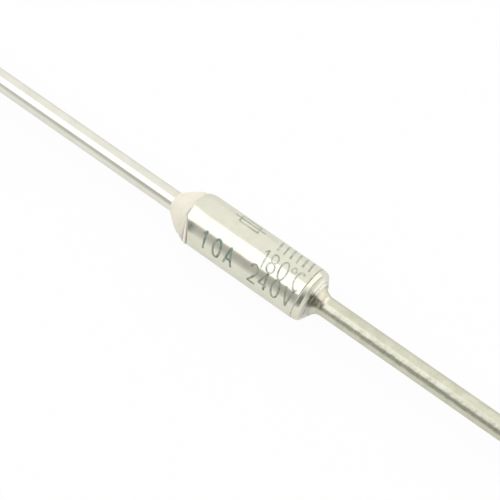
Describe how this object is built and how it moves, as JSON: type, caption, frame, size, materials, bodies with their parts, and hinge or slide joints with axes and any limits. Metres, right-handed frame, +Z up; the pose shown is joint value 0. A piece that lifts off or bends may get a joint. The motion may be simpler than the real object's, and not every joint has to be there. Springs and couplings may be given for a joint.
{
  "type": "thermal fuse",
  "caption": "Axial thermal fuse: round plated metal case with a resin cone at one end, a straight wire lead at each end, and a spring-loaded pellet switch sealed inside.",
  "frame": {"origin": "on the fuse's axis, at the middle of the metal case and of the overall length", "axes": "+X along the axis from the resin end towards the closed end and its lead, +Z up as it lies on a table"},
  "size_m": [0.075, 0.004, 0.004],
  "materials": {
    "plated_case": "polished",
    "tinned_wire": "satin",
    "bright_wire": "gloss",
    "cream_resin": "matte",
    "white_ceramic": "matte",
    "spring_steel": "satin",
    "contact_silver": "polished",
    "disc_brass": "satin",
    "pellet_compound": "matte"
  },
  "bodies": {
    "root": {"metal_case": "plated_case", "case_lead": "tinned_wire", "isolated_lead": "bright_wire", "sealing_resin": "cream_resin", "ceramic_bush": "white_ceramic", "trip_spring": "spring_steel", "star_contact": "contact_silver", "contact_disc": "disc_brass", "barrel_spring": "spring_steel", "pellet_disc": "disc_brass", "thermal_pellet": "pellet_compound"}
  },
  "joints": []
}
